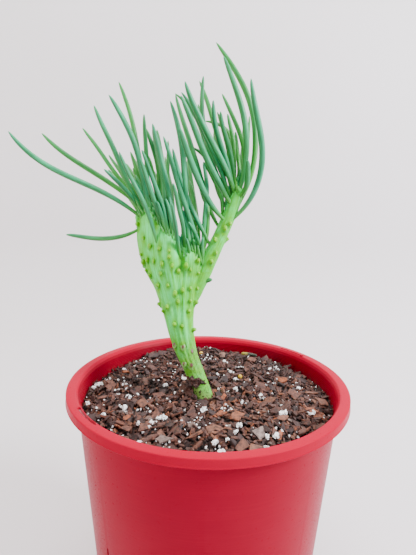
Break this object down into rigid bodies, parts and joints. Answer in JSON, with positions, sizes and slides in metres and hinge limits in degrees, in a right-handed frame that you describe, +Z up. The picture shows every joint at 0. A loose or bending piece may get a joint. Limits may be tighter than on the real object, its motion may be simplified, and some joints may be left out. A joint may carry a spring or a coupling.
{
  "type": "potted crested chalk sticks",
  "caption": "A crested chalk sticks succulent, its fan-shaped stem and slim blue-green leaves leaning from bark mix in a round red nursery pot",
  "frame": {"origin": "the middle of the pot's flat underside", "axes": "+Z up the pot's axis; the side seen in the picture faces -Y; the fan of the stem spreads along X and leans to -X"},
  "size_m": [0.2366, 0.2006, 0.4243],
  "materials": {
    "pot_plastic": "satin",
    "bark_mix": "matte",
    "plant_tissue": "satin",
    "withered_leaf": "matte"
  },
  "bodies": {
    "root": {"pot": "pot_plastic", "potting_mix": "bark_mix", "crested_plant": "plant_tissue", "shed_leaf": "withered_leaf"}
  },
  "joints": []
}
